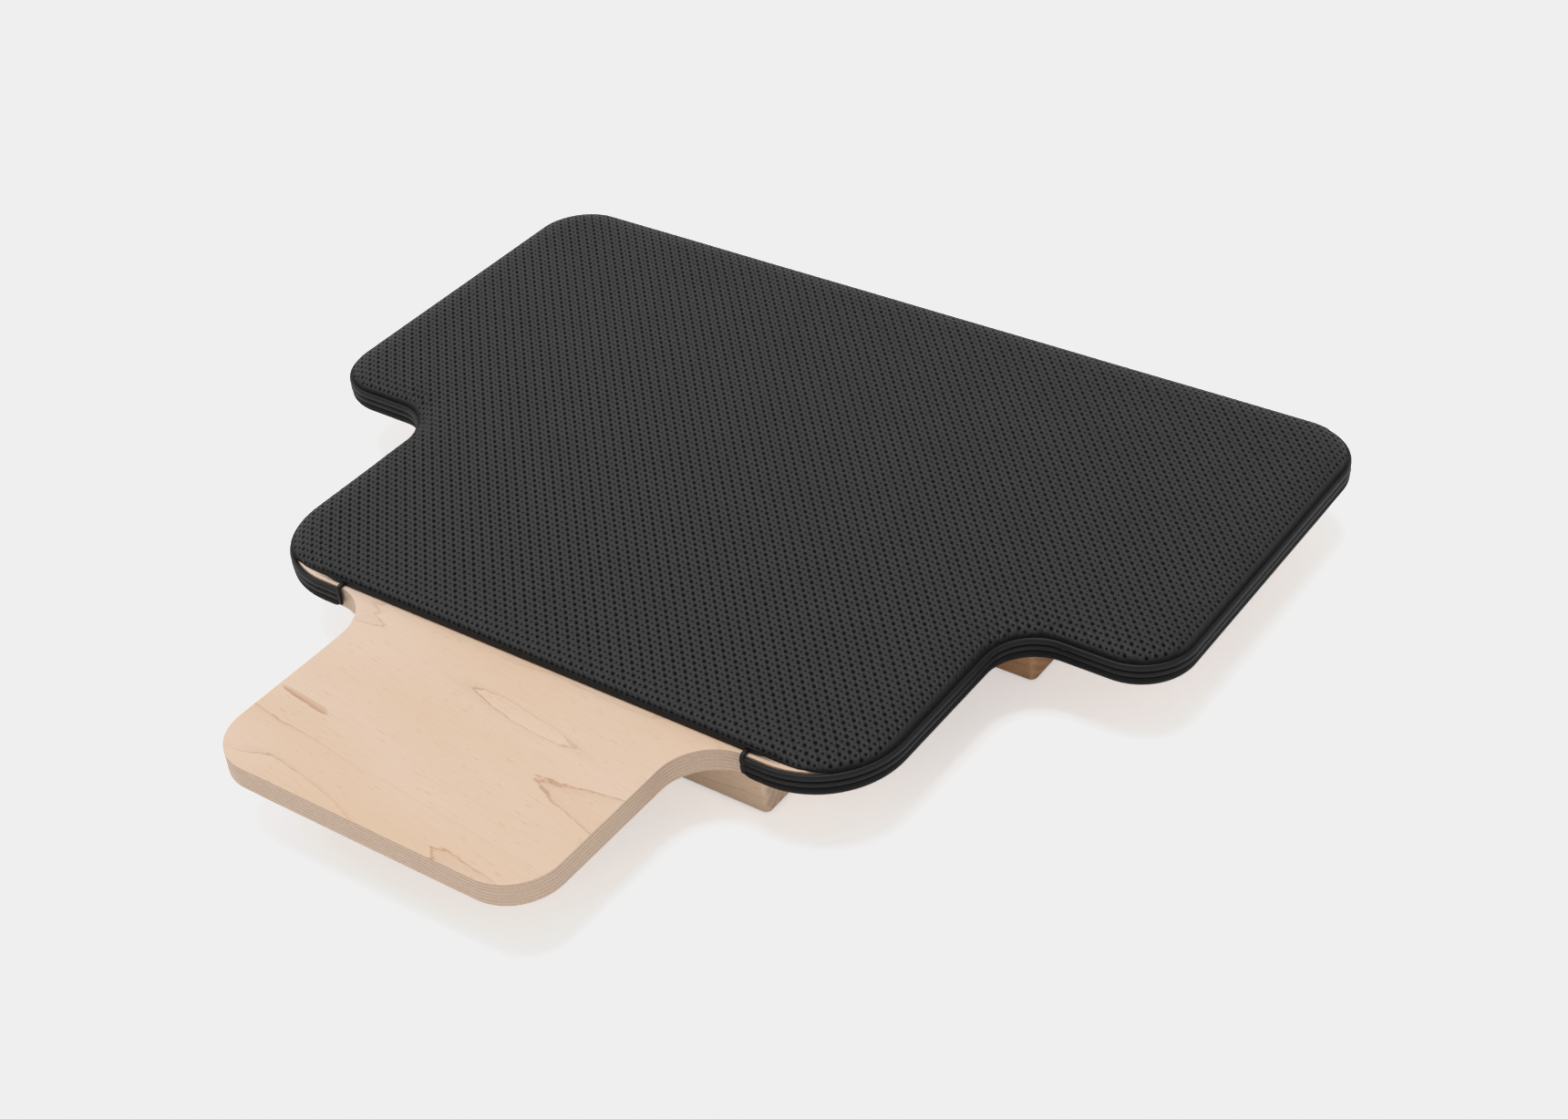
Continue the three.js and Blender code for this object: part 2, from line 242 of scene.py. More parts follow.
class Shader:
    """A node material with one Principled BSDF, built by short calls."""

    def __init__(self, name, **values):
        self.material = bpy.data.materials.new(name)
        self.material.use_nodes = True
        self.tree = self.material.node_tree
        self.principled = self.tree.nodes["Principled BSDF"]
        for key, value in values.items():
            self.principled.inputs[key.replace("_", " ").title().replace("Ior", "IOR")].default_value = value

    def node(self, kind, inputs=None, **settings):
        made = self.tree.nodes.new("ShaderNode" + kind)
        for key, value in settings.items():
            setattr(made, key, value)
        for key, value in (inputs or {}).items():
            self.feed(made.inputs[key], value)
        return made

    def feed(self, socket, value):
        if isinstance(value, bpy.types.NodeSocket):
            self.tree.links.new(value, socket)
        else:
            socket.default_value = value

    def math(self, operation, a, b=None, c=None, clamp=False):
        values = {i: v for i, v in enumerate((a, b, c)) if v is not None}
        return self.node("Math", values, operation=operation, use_clamp=clamp).outputs[0]

    def mix(self, factor, a, b, blend="MIX"):
        made = self.node("Mix", data_type="RGBA", blend_type=blend)
        for index, value in ((0, factor), (6, a), (7, b)):
            self.feed(made.inputs[index], value)
        return made.outputs[2]

    def ramp(self, factor, *stops):
        made = self.node("ValToRGB", {"Fac": factor})
        elements = made.color_ramp.elements
        while len(elements) < len(stops):
            elements.new(0.5)
        for element, (place, level) in zip(elements, stops):
            element.position = place
            element.color = (level, level, level, 1) if isinstance(level, (int, float)) else (*level, 1)
        return made.outputs[0]

    def object_place(self, scale=(1, 1, 1), move=(0, 0, 0), turn=0.0):
        place = self.node("TexCoord").outputs["Object"]
        if turn:
            place = self.node("VectorRotate", {"Vector": place, "Angle": turn},
                              rotation_type="Z_AXIS").outputs[0]
        return self.node("Mapping", {"Vector": place, "Scale": scale, "Location": move}).outputs[0]

    def attribute(self, name, output="Fac"):
        return self.node("Attribute", attribute_name=name).outputs[output]

    def noise(self, vector, scale, detail=2.0, roughness=0.5, distortion=0.0):
        inputs = {"Vector": vector, "Scale": scale, "Detail": detail, "Roughness": roughness,
                  "Distortion": distortion}
        return self.node("TexNoise", inputs).outputs["Fac"]

    def voronoi(self, vector, scale, feature="F1", randomness=1.0):
        inputs = {"Vector": vector, "Scale": scale, "Randomness": randomness}
        return self.node("TexVoronoi", inputs, feature=feature).outputs["Distance"]

    def bump(self, height, distance, strength):
        inputs = {"Height": height, "Distance": distance, "Strength": strength}
        return self.node("Bump", inputs).outputs[0]

    def finish(self, color=None, roughness=None, normal=None):
        for key, value in (("Base Color", color), ("Roughness", roughness), ("Normal", normal)):
            if value is not None:
                self.feed(self.principled.inputs[key], value)
        return self.material


def srgb(red, green, blue):
    """Linear colour of an sRGB colour given from 0 to 255."""
    levels = [c / 255 for c in (red, green, blue)]
    return tuple(c / 12.92 if c <= 0.04045 else ((c + 0.055) / 1.055) ** 2.4 for c in levels)


def rgba(color):
    return (*color, 1)


# ======================================================================
# Materials
# ======================================================================

PLY_THICKNESS = 1.25 * MM
STREAK_MIDDLE = (-0.1005, -0.2457)   # a mineral streak beside the tongue's left edge
STREAK_HALF_SIZE = (0.0240, 0.0031)
GRAIN_SLOPE = -0.13                  # the veneer's grain runs this much off the X axis
# Painted shade: the near black laid into the holes, into the furrows between their rows and onto the pad's
# edge by the seam.
PAINTED_SHADE_BLACK = (0.001, 0.001, 0.001)


def growth_lines(s, stretch, rings, move, turn):
    """Flat-sawn wood: thin late-wood lines, dark on one side, at the contours of a stretched noise."""
    field = s.noise(s.object_place(stretch, move, turn), 1.0, detail=1.4, roughness=0.4, distortion=0.35)
    waver = s.noise(s.object_place((34, 150, 150), move, turn), 1.0, detail=3, roughness=0.65)
    waved = s.math("MULTIPLY_ADD", field, rings, s.math("MULTIPLY", waver, 0.26))
    return s.ramp(s.math("FRACT", waved), (0.0, 0.0), (0.78, 0.03), (0.945, 0.20), (0.970, 1.0), (0.992, 0.0))


def maple_color(s, stretch, rings, pale, warm, line, move=(0, 0, 0), turn=0.0):
    """Base tint, growth lines that come and go, fibres and short dark flecks along the grain."""
    tint = s.ramp(s.noise(s.object_place((3, 9, 9), move, turn), 1.0, detail=2), (0.35, 0.0), (0.68, 1.0))
    color = s.mix(tint, rgba(pale), rgba(warm))
    late = growth_lines(s, stretch, rings, move, turn)
    patches = s.noise(s.object_place((5, 26, 26), move, turn), 1.0, detail=1)
    patchy = s.ramp(patches, (0.36, 0.22), (0.58, 1.0))
    color = s.mix(s.math("MULTIPLY", s.math("MULTIPLY", late, patchy), 0.80), color, rgba(line))
    fibre = s.noise(s.object_place((28, 900, 900), move, turn), 1.0, detail=2)
    color = s.mix(s.ramp(fibre, (0.50, 0.0), (0.80, 0.15)), color, rgba(line))
    fleck = s.noise(s.object_place((110, 1300, 1300), move, turn), 1.0, detail=0)
    return s.mix(s.ramp(fleck, (0.74, 0.0), (0.80, 0.40)), color, rgba(line)), late, fibre


def maple_ply():
    s = Shader("maple_ply", roughness=0.5, coat_weight=0.06, coat_roughness=0.3)
    pale, warm, line = srgb(223, 200, 181), srgb(218, 189, 162), srgb(180, 137, 104)
    face, late, fibre = maple_color(s, (3.4, 15, 15), 5.0, pale, warm, line, (0.31, 0.12, 0),
                                    -math.atan(GRAIN_SLOPE))

    # A mineral streak that widens along the grain.
    place = s.node("SeparateXYZ", {0: s.node("TexCoord").outputs["Object"]}).outputs
    from_middle = s.math("SUBTRACT", place[0], STREAK_MIDDLE[0])
    along = s.math("DIVIDE", from_middle, STREAK_HALF_SIZE[0])
    centre = s.math("MULTIPLY_ADD", from_middle, GRAIN_SLOPE, STREAK_MIDDLE[1])
    width = s.math("MULTIPLY_ADD", along, 0.32 * STREAK_HALF_SIZE[1], STREAK_HALF_SIZE[1])
    across = s.math("DIVIDE", s.math("SUBTRACT", place[1], centre), width)
    radius = s.math("ADD", s.math("POWER", s.math("ABSOLUTE", along), 6.0), s.math("POWER", across, 2.0))
    ragged = s.math("ADD", radius, s.math("MULTIPLY", s.noise(s.object_place((60, 900, 1)), 1.0), 0.9))
    streak = s.ramp(ragged, (0.60, 0.85), (1.05, 0.50), (1.5, 0.0))
    lower = s.ramp(s.math("MULTIPLY_ADD", across, 0.5, 0.5), (0.10, 1.0), (0.55, 0.35))
    face = s.mix(s.math("MULTIPLY", streak, lower), face, rgba(srgb(166, 108, 62)))

    # Edge: plies 1.25 mm thick whose grain turns a quarter from each to the next.
    depth = s.math("DIVIDE", s.math("SUBTRACT", DECK_TOP, place[2]), PLY_THICKNESS)
    wander = s.math("MULTIPLY", s.math("SUBTRACT", s.noise(s.object_place((14, 14, 60)), 1.0), 0.5), 0.28)
    layer = s.math("ADD", depth, wander)
    odd = s.math("GREATER_THAN", s.math("FRACT", s.math("MULTIPLY", layer, 0.5)), 0.5)
    normal = s.node("SeparateXYZ", {0: s.node("TexCoord").outputs["Normal"]}).outputs
    facing_x = s.math("MULTIPLY", normal[0], normal[0])
    facing_y = s.math("MULTIPLY", normal[1], normal[1])
    even = s.math("SUBTRACT", 1.0, odd)
    end_grain = s.math("ADD", s.math("MULTIPLY", odd, facing_x), s.math("MULTIPLY", even, facing_y),
                       clamp=True)
    glue = s.ramp(s.math("PINGPONG", layer, 0.5), (0.0, 1.0), (0.09, 0.55), (0.16, 0.0))
    fibres = s.noise(s.object_place((45, 45, 1500)), 1.0, detail=2)
    pores = s.noise(s.object_place((900, 900, 900)), 1.0, detail=1)
    edge = s.mix(s.ramp(fibres, (0.35, 0.0), (0.7, 1.0)),
                 rgba(srgb(234, 209, 186)), rgba(srgb(221, 194, 170)))
    dark = s.mix(s.ramp(pores, (0.4, 0.0), (0.62, 1.0)),
                 rgba(srgb(219, 191, 167)), rgba(srgb(201, 171, 147)))
    edge = s.mix(end_grain, edge, dark)
    edge = s.mix(s.math("MULTIPLY", glue, 0.30), edge, rgba(srgb(160, 130, 108)))

    on_face = s.ramp(s.math("ABSOLUTE", normal[2]), (0.55, 0.0), (0.80, 1.0))
    color = s.mix(on_face, edge, face)
    rough = s.math("ADD", 0.40, s.math("MULTIPLY", s.ramp(fibre, (0.3, 0.0), (0.8, 1.0)), 0.16))
    grain = s.math("ADD", s.math("MULTIPLY", fibre, 0.6), s.math("MULTIPLY", late, -0.4))
    cut = s.math("SUBTRACT", s.math("MULTIPLY", pores, 0.6), s.math("MULTIPLY", end_grain, 0.5))
    height = s.mix(on_face, cut, grain)
    return s.finish(color, rough, s.bump(height, 0.00012, 0.5))


def solid_maple(name, pale, warm, line):
    s = Shader(name, roughness=0.5, coat_weight=0.05, coat_roughness=0.35)
    side, _, fibre = maple_color(s, (2.2, 30, 22), 7.0, pale, warm, line, (0.6, 0.4, 0.2))
    place = s.object_place((1, 1, 1), (0, 0.02, 0.09))
    rings = s.node("TexWave", {"Vector": place, "Scale": 55.0, "Distortion": 3.0, "Detail": 2.0},
                   wave_type="RINGS", rings_direction="X").outputs["Fac"]
    pores = s.noise(s.object_place((1400, 1400, 1400)), 1.0, detail=1)
    end = s.mix(s.ramp(rings, (0.1, 0.08), (0.9, 0.38)), rgba(pale), rgba(line))
    end = s.mix(s.ramp(pores, (0.5, 0.0), (0.68, 0.4)), end, rgba(tuple(0.6 * c for c in line)))
    normal = s.node("SeparateXYZ", {0: s.node("TexCoord").outputs["Normal"]}).outputs
    on_end = s.ramp(s.math("ABSOLUTE", normal[0]), (0.6, 0.0), (0.85, 1.0))
    color = s.mix(on_end, side, end)
    rough = s.math("ADD", 0.42, s.math("MULTIPLY", fibre, 0.2))
    return s.finish(color, rough, s.bump(s.mix(on_end, fibre, pores), 0.00012, 0.5))


def leather_grain(s, place, cell):
    """Fine creased pebbles of coated cloth."""
    pebbles = s.voronoi(place, 1 / cell, "DISTANCE_TO_EDGE")
    creases = s.ramp(pebbles, (0.0, 0.0), (0.22, 1.0))
    fine = s.noise(place, 2.2 / cell, detail=2)
    return s.math("ADD", s.math("MULTIPLY", creases, 0.65), s.math("MULTIPLY", fine, 0.35))


def perforated_leather():
    s = Shader("perforated_leather", roughness=0.5, specular_ior_level=0.38)
    sheet = s.attribute("sheet", "Vector")
    grain = leather_grain(s, sheet, 0.55 * MM)
    tone = s.ramp(s.noise(sheet, 22.0, detail=3), (0.3, 0.0), (0.75, 1.0))
    color = s.mix(tone, rgba(srgb(26, 26, 28)), rgba(srgb(32, 32, 35)))
    # Lighter colour on the grain's raised pebbles.
    lighter_on_grain = s.ramp(grain, (0.55, 0.0), (0.95, 0.35))
    color = s.mix(lighter_on_grain, color, rgba(srgb(46, 46, 50)))
    # The holes stand in soft furrows along one diagonal, and every other furrow is deeper; the furrows carry
    # painted shade, darkest in the deeper ones.
    column = s.attribute("column")
    furrow = s.math("MULTIPLY_ADD", s.math("COSINE", s.math("MULTIPLY", column, 2 * math.pi)), 0.5, 0.5)
    deeper = s.math("MULTIPLY_ADD", s.math("COSINE", s.math("MULTIPLY", column, math.pi)), -0.35, 0.65)
    shade = s.math("MULTIPLY", s.math("POWER", furrow, 1.6), deeper)
    # Painted shade on the rolled edge next to the seam, where it turns down into the groove by the piping.
    at_seam = s.ramp(s.attribute("from_seam"), (0.07, 1.0), (0.26, 0.0))
    shade = s.math("MAXIMUM", s.math("MULTIPLY", shade, FURROW_SHADE), s.math("MULTIPLY", at_seam, 0.9))
    color = s.mix(shade, color, rgba(PAINTED_SHADE_BLACK))
    # Painted shade inside the holes.
    inside = s.ramp(s.attribute("hole"), (0.0, 0.0), (0.22, 1.0))
    color = s.mix(inside, color, rgba(PAINTED_SHADE_BLACK))
    rough = s.math("SUBTRACT", 0.52, s.math("MULTIPLY", grain, 0.16))
    rough = s.math("MAXIMUM", rough, s.math("MAXIMUM", inside, s.math("MULTIPLY", at_seam, 0.8)))
    height = s.math("SUBTRACT", s.math("MULTIPLY", grain, 0.30), s.math("MULTIPLY", furrow, deeper))
    return s.finish(color, rough, s.bump(height, 0.00045, 0.8))


def edge_trim(name, dark, pale, specular):
    s = Shader(name, roughness=0.45, specular_ior_level=specular)
    grain = leather_grain(s, s.object_place(), 0.45 * MM)
    tone = s.ramp(s.noise(s.object_place(), 30.0, detail=3), (0.3, 0.0), (0.7, 1.0))
    color = s.mix(tone, rgba(dark), rgba(pale))
    color = s.mix(s.ramp(grain, (0.6, 0.0), (0.95, 0.3)), color, rgba(tuple(2.2 * c for c in pale)))
    rough = s.math("SUBTRACT", 0.55, s.math("MULTIPLY", grain, 0.15))
    return s.finish(color, rough, s.bump(grain, 0.00005, 0.6))


def ribbed_elastic():
    s = Shader("ribbed_elastic", roughness=0.7, specular_ior_level=0.25, sheen_weight=0.04,
               sheen_roughness=0.5)
    along = s.attribute("along")
    height_z = s.node("SeparateXYZ", {0: s.node("TexCoord").outputs["Object"]}).outputs[2]
    yarn = s.math("SINE", s.math("MULTIPLY", along, 2 * math.pi / (0.9 * MM)))
    course = s.math("SINE", s.math("MULTIPLY", height_z, 2 * math.pi / (0.55 * MM)))
    knit = s.math("MULTIPLY", yarn, course)
    level = s.ramp(s.math("MULTIPLY_ADD", knit, 0.5, 0.5), (0.1, 0.0), (0.9, 1.0))
    color = s.mix(level, rgba(srgb(7, 7, 8)), rgba(srgb(18, 18, 20)))
    rough = s.math("SUBTRACT", 0.82, s.math("MULTIPLY", level, 0.16))
    return s.finish(color, rough, s.bump(level, 0.0001, 0.7))


def backing_cloth():
    s = Shader("backing_cloth", roughness=0.9, sheen_weight=0.2, sheen_roughness=0.5)
    place = s.node("SeparateXYZ", {0: s.node("TexCoord").outputs["Object"]}).outputs
    warp = s.math("SINE", s.math("MULTIPLY", place[0], 2 * math.pi / (1.6 * MM)))
    weft = s.math("SINE", s.math("MULTIPLY", place[1], 2 * math.pi / (1.6 * MM)))
    weave = s.math("MULTIPLY_ADD", s.math("MULTIPLY", warp, weft), 0.5, 0.5)
    fuzz = s.noise(s.object_place(), 900.0, detail=2)
    level = s.math("ADD", s.math("MULTIPLY", weave, 0.7), s.math("MULTIPLY", fuzz, 0.3))
    color = s.mix(level, rgba(srgb(26, 26, 28)), rgba(srgb(62, 62, 66)))
    rough = s.math("SUBTRACT", 0.95, s.math("MULTIPLY", level, 0.15))
    return s.finish(color, rough, s.bump(level, 0.00025, 0.8))


def grip_rubber():
    s = Shader("grip_rubber", roughness=0.85)
    dots = s.voronoi(s.object_place(), 700.0, "F1", 0.0)
    stud = s.ramp(dots, (0.25, 1.0), (0.45, 0.0))
    dust = s.noise(s.object_place(), 160.0, detail=4)
    color = s.mix(s.ramp(dust, (0.45, 0.0), (0.8, 0.6)), rgba(srgb(28, 28, 30)), rgba(srgb(64, 62, 60)))
    rough = s.math("SUBTRACT", 0.95, s.math("MULTIPLY", stud, 0.2))
    return s.finish(color, rough, s.bump(stud, 0.0002, 0.6))


def screw_steel():
    s = Shader("screw_steel", roughness=0.3, metallic=1.0)
    brushed = s.noise(s.object_place((300, 300, 4000)), 1.0, detail=2)
    stain = s.noise(s.object_place(), 500.0, detail=3)
    color = s.mix(s.ramp(stain, (0.45, 0.0), (0.75, 0.7)),
                  rgba(srgb(196, 194, 188)), rgba(srgb(140, 136, 128)))
    rough = s.math("ADD", 0.22, s.math("MULTIPLY", brushed, 0.25))
    return s.finish(color, rough, s.bump(brushed, 0.00003, 0.5))


# ======================================================================
# Topper: the perforated pad
# ======================================================================

def roll_table(width, rise, steps=400):
    """Along a quarter ellipse from the seam: sheet length, plan inset, height."""
    angle = np.linspace(0, math.pi / 2, steps)
    inset = width * (1 - np.cos(angle))
    height = rise * np.sin(angle)
    length = np.concatenate([[0], np.cumsum(np.hypot(np.diff(inset), np.diff(height)))])
    return length, inset, height


def hash_noise(*keys):
    """A repeatable number from 0 to 1 for each set of whole-number keys."""
    total = sum(np.asarray(k, float) * f for k, f in zip(keys, (12.9898, 78.233, 37.719)))
    return np.abs(np.sin(total) * 43758.5453) % 1


def hole_points(side_spare, front_spare, boundary):
    """Rims and floors of the holes in the flat sheet: points, depth shares, and the first row's place."""
    tree = KDTree(len(boundary))
    for i, p in enumerate(boundary):
        tree.insert((p[0], p[1], 0), i)
    tree.balance()
    first_row = PAD_FRONT_Y - front_spare + 1.06 * PLAIN_STRIP
    columns = int((DECK_HALF_WIDTH + side_spare) / HOLE_PITCH_X) + 1
    rows = int((DECK_REAR_Y - first_row) / HOLE_PITCH_Y) + 2
    kept = []
    for j in range(rows):
        y = first_row + j * HOLE_PITCH_Y
        for i in range(-columns, columns + 1):
            x = i * HOLE_PITCH_X
            _, index, distance = tree.find((x, y, 0))
            near = boundary[index]
            inward = -((x - near[0]) * near[2] + (y - near[1]) * near[3])
            if inward > PLAIN_STRIP * 0.999 and distance > PLAIN_STRIP * 0.8:
                kept.append((i, j, x, y, inward))
    kept = np.array(kept)
    i, j, x, y, edge = kept.T
    inner = np.clip(edge / HOLE_EDGE_ZONE, 0, 1)
    contrast = HOLE_CONTRAST * (0.35 + 0.65 * inner)
    strong = 1 + contrast * (2 * ((i + j) % 2) - 1) + 0.08 * (hash_noise(i, j, 1) - 0.5)
    half_length = (HOLE_HALF_WIDTH + (HOLE_HALF_LENGTH - HOLE_HALF_WIDTH) * (0.4 + 0.6 * inner)) * strong
    half_width = HOLE_HALF_WIDTH * (1.15 - 0.15 * inner) * strong
    x = x + HOLE_JITTER * (hash_noise(i, j, 2) - 0.5)
    y = y + HOLE_JITTER * (hash_noise(i, j, 3) - 0.5)
    lean = math.atan2(HOLE_PITCH_Y, -HOLE_PITCH_X)
    points, depths = [], []
    for k in range(HOLE_SIDES):
        angle = 2 * math.pi * k / HOLE_SIDES
        u, v = half_length * math.cos(angle), half_width * 1.08 * math.sin(angle)
        points.append(np.stack([x + u * math.cos(lean) - v * math.sin(lean),
                                y + u * math.sin(lean) + v * math.cos(lean)], 1))
        depths.append(np.zeros(len(x)))
    points.append(np.stack([x, y], 1))
    depths.append(strong ** 2)
    return np.concatenate(points), np.concatenate(depths), first_row


def seam_field(points, outline):
    """For each point, the index of the nearest outline place and the signed distance inwards from it."""
    tree = KDTree(len(outline))
    for i, p in enumerate(outline):
        tree.insert((p[0], p[1], 0), i)
    tree.balance()
    nearest = np.array([tree.find((x, y, 0))[1] for x, y in points])
    near = outline[nearest]
    inward = -((points[:, 0] - near[:, 0]) * near[:, 2] + (points[:, 1] - near[:, 1]) * near[:, 3])
    return nearest, inward


def notch_wrinkles(x, y, inset):
    """Small gathers where the sheet is pulled round each inner corner, as a height."""
    height = np.zeros(len(x))
    centre_x, centre_y = MID_HALF_WIDTH + NOTCH_RADIUS, WING_FRONT_Y - NOTCH_RADIUS
    angle = np.degrees(np.arctan2(y - centre_y, np.abs(x) - centre_x)) % 360
    near_notch = np.hypot(y - centre_y, np.abs(x) - centre_x) < NOTCH_RADIUS + 2 * SIDE_ROLL_WIDTH
    for middle, spread, count, depth in ((104, 19, 0.30, 0.80 * MM), (160, 16, 0.30, 0.55 * MM)):
        share = np.exp(-(((angle - middle) / spread) ** 2))
        lean = (inset / SIDE_ROLL_WIDTH) * 9
        waves = np.cos((angle - middle - lean) * count * 2 * math.pi / 2)
        reach = np.exp(-((np.clip(inset, 0, None) - 7 * MM) / (6 * MM)) ** 2) * near_notch
        height += depth * waves * share * reach
    return height


def top_relief(x, y):
    """Slow unevenness of the foam under the sheet."""
    slow = np.sin(x * 21 + 1.3) * np.cos(y * 17 - 0.4) + 0.6 * np.sin(x * 43 - y * 29 + 0.7)
    return FOAM_UNEVENNESS * slow


def perforated_pad():
    side_length, side_inset, side_height = roll_table(SIDE_ROLL_WIDTH, PAD_RISE)
    front_length, front_inset, front_height = roll_table(FRONT_ROLL_WIDTH, PAD_RISE)
    side_spare = side_length[-1] - SIDE_ROLL_WIDTH
    front_spare = front_length[-1] - FRONT_ROLL_WIDTH
    sheet_front = PAD_FRONT_Y - front_spare
    sides = both_sides(right_side(SEAM_OFFSET + side_spare, PAD_OUTLINE_STEP, sheet_front))
    corner = sides[0, 0]
    front = spaced_line((-corner, sheet_front), (corner, sheet_front), (0, -1), PAD_OUTLINE_STEP)
    front = np.array(front[1:])
    boundary = np.concatenate([sides, front])
    holes, hole_depth, first_row = hole_points(side_spare, front_spare, boundary)
    ring = len(boundary)
    flat = np.concatenate([boundary[:, :2], holes])
    depth = np.concatenate([np.zeros(ring), hole_depth])
    loop = [(i, (i + 1) % ring) for i in range(ring)]
    made = delaunay_2d_cdt([Vector(p) for p in flat], loop, [], 1, SAME_POINT)
    source = [ids[0] for ids in made[3]]
    triangles = [[source[i] for i in face] for face in made[2]]

    # Lay the flat sheet over the pad: sheet length beyond the flat top goes down the rounded edge.
    seam = both_sides(right_side(SEAM_OFFSET, SEAM_STEP, PAD_FRONT_Y))
    nearest, inward = seam_field(flat, seam)
    along_side = inward + side_spare
    inset = np.where(along_side < side_length[-1], np.interp(along_side, side_length, side_inset), inward)
    shift = inset - inward
    x = flat[:, 0] - seam[nearest, 2] * shift
    y = flat[:, 1] - seam[nearest, 3] * shift
    along_front = flat[:, 1] - PAD_FRONT_Y + front_spare
    inset_front = np.interp(along_front, front_length, front_inset)
    past = along_front >= front_length[-1]
    inset_front = np.where(past, flat[:, 1] - PAD_FRONT_Y, inset_front)
    y = y + inset_front - (flat[:, 1] - PAD_FRONT_Y)
    side_share = np.interp(along_side, side_length, side_height) / PAD_RISE
    front_share = np.interp(along_front, front_length, front_height) / PAD_RISE
    crown = side_share * front_share
    soft = np.clip(crown, 0, 1)
    z = PAD_BOTTOM + PAD_RISE * crown + soft * top_relief(x, y) - TOP_MARGIN * soft
    z = z + notch_wrinkles(x, y, inset) * np.clip(along_side / SEAM_FADE, 0, 1)
    off_deck = np.clip((flat[:, 1] - PAD_FRONT_Y - 2 * MM) / (10 * MM), 0, 1)
    z = z - (PAD_BOTTOM - piping_high.z + RIM_CLEARANCE) * np.clip(1 - side_share, 0, 1) ** 3 * off_deck

    # The holes go in along the surface's own slope.
    slope = np.where(along_side < side_length[-1], np.gradient(side_height, side_inset, edge_order=1)[
        np.clip(np.searchsorted(side_length, along_side), 1, len(side_length) - 1)], 0)
    tilt = np.arctan(np.clip(slope, 0, 4))
    into = depth * HOLE_DEPTH
    x = x - seam[nearest, 2] * np.sin(tilt) * into
    y = y - seam[nearest, 3] * np.sin(tilt) * into
    z = z - np.cos(tilt) * into
    top = np.stack([x, y, z], 1)

    # Turned under at the seam, with a flat underside.
    rim = top[:ring]
    ring_normals = boundary[:, 2:]
    rows = [rim]
    for inwards, low_z in ((0.5 * MM, rim[:, 2] - 0.05 * MM), (1.4 * MM, np.full(ring, PAD_BOTTOM))):
        rows.append(np.column_stack([rim[:, :2] - ring_normals * inwards, low_z]))
    vertices = np.concatenate([top, *rows[1:]])
    total = len(top)
    faces = [tuple(t) for t in triangles]
    for i in range(ring):
        k = (i + 1) % ring
        faces.append((k, i, total + i, total + k))
        faces.append((total + k, total + i, total + ring + i, total + ring + k))
    faces.append(tuple(total + ring + i for i in reversed(range(ring))))
    obj = make_object("perforated_pad", vertices, faces, perforated_leather(), "topper")
    spare = len(vertices) - len(flat)
    sheet = np.column_stack([flat, np.zeros(len(flat))])
    tail = np.column_stack([vertices[total:, :2], vertices[total:, 2]])
    add_attribute(obj, "sheet", np.concatenate([sheet, tail]))
    add_attribute(obj, "hole", np.concatenate([depth, np.zeros(spare)]))
    column = flat[:, 0] / HOLE_PITCH_X + (flat[:, 1] - first_row) / HOLE_PITCH_Y
    add_attribute(obj, "column", np.concatenate([column, np.zeros(spare)]))
    from_seam = np.minimum(along_side / side_length[-1], along_front / front_length[-1])
    add_attribute(obj, "from_seam", np.concatenate([np.clip(from_seam, 0, 1), np.zeros(spare)]))
    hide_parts("perforated_skin", "foam_core")


# ======================================================================
# Topper: edge band, hems and bindings
# ======================================================================

def oval(offset, z, half_width, half_height, points=20, power=2.3):
    """A soft-cornered closed section round (offset, z), anticlockwise seen along the path."""
    made = []
    for k in range(points):
        a = 2 * math.pi * k / points
        c, s = math.cos(a), math.sin(a)
        made.append((
            offset + half_width * math.copysign(abs(c) ** (2 / power), c),
            z + half_height * math.copysign(abs(s) ** (2 / power), s),
        ))
    return made


def roll_section(low, high):
    inner = BAND_INSIDE
    outer = high.x - DECK_HALF_WIDTH
    return oval((inner + outer) / 2, (low.z + high.z) / 2, (outer - inner) / 2, (high.z - low.z) / 2)


def sewn_wobble(stitch, depth, slow):
    """Small pulls of the stitches along a roll, on a slow waver."""
    def wobble(along, turn):
        pull = -depth * abs(math.sin(math.pi * along / stitch)) ** 6
        waver = slow * math.sin(along * 31 + 0.8) + 0.5 * slow * math.sin(along * 83)
        return pull * max(0, math.cos(2 * math.pi * turn)) + waver * 0.6, waver
    return wobble


def hem_section():
    """Ribbed elastic, two layers: a wavy outer face, a rounded foot and a flat inner face."""
    outer = BAND_OUT - 0.35 * MM
    low, high = hem_low.z, hem_high.z
    section = []
    ribs, steps = 4, 16
    for k in range(steps + 1):
        share = k / steps
        z = low + 0.6 * MM + (high - low - 1.0 * MM) * share
        bulge = 0.07 * MM * abs(math.sin(math.pi * ribs * share))
        belly = 0.45 * MM * math.sin(math.pi * share) - 1.1 * MM * (1 - share) ** 3
        section.append((outer - 0.5 * MM + bulge + belly, z))
    section.append((outer - 1.1 * MM, high))
    section.append((1.1 * MM, high))
    section.append((0.5 * MM, high - 0.5 * MM))
    section.append((0.5 * MM, low + 0.5 * MM))
    section.append((1.0 * MM, low))
    section.append((outer - 2.0 * MM, low))
    return section


def round_ends(obj, path):
    """Lift the hem's lower edge in a quarter circle at both ends."""
    steps = np.hypot(np.diff(path[:, 0]), np.diff(path[:, 1]))
    along = np.concatenate([[0], np.cumsum(steps)])
    from_end = np.minimum(along, along[-1] - along)
    count = len(obj.data.vertices) // len(path)
    for vertex in obj.data.vertices:
        missing = max(0, 1 - from_end[vertex.index // count] / HEM_END_RADIUS)
        lift = HEM_END_RADIUS * (1 - math.sqrt(1 - missing ** 2))
        share = (hem_high.z - vertex.co.z) / (hem_high.z - hem_low.z)
        vertex.co.z += lift * share


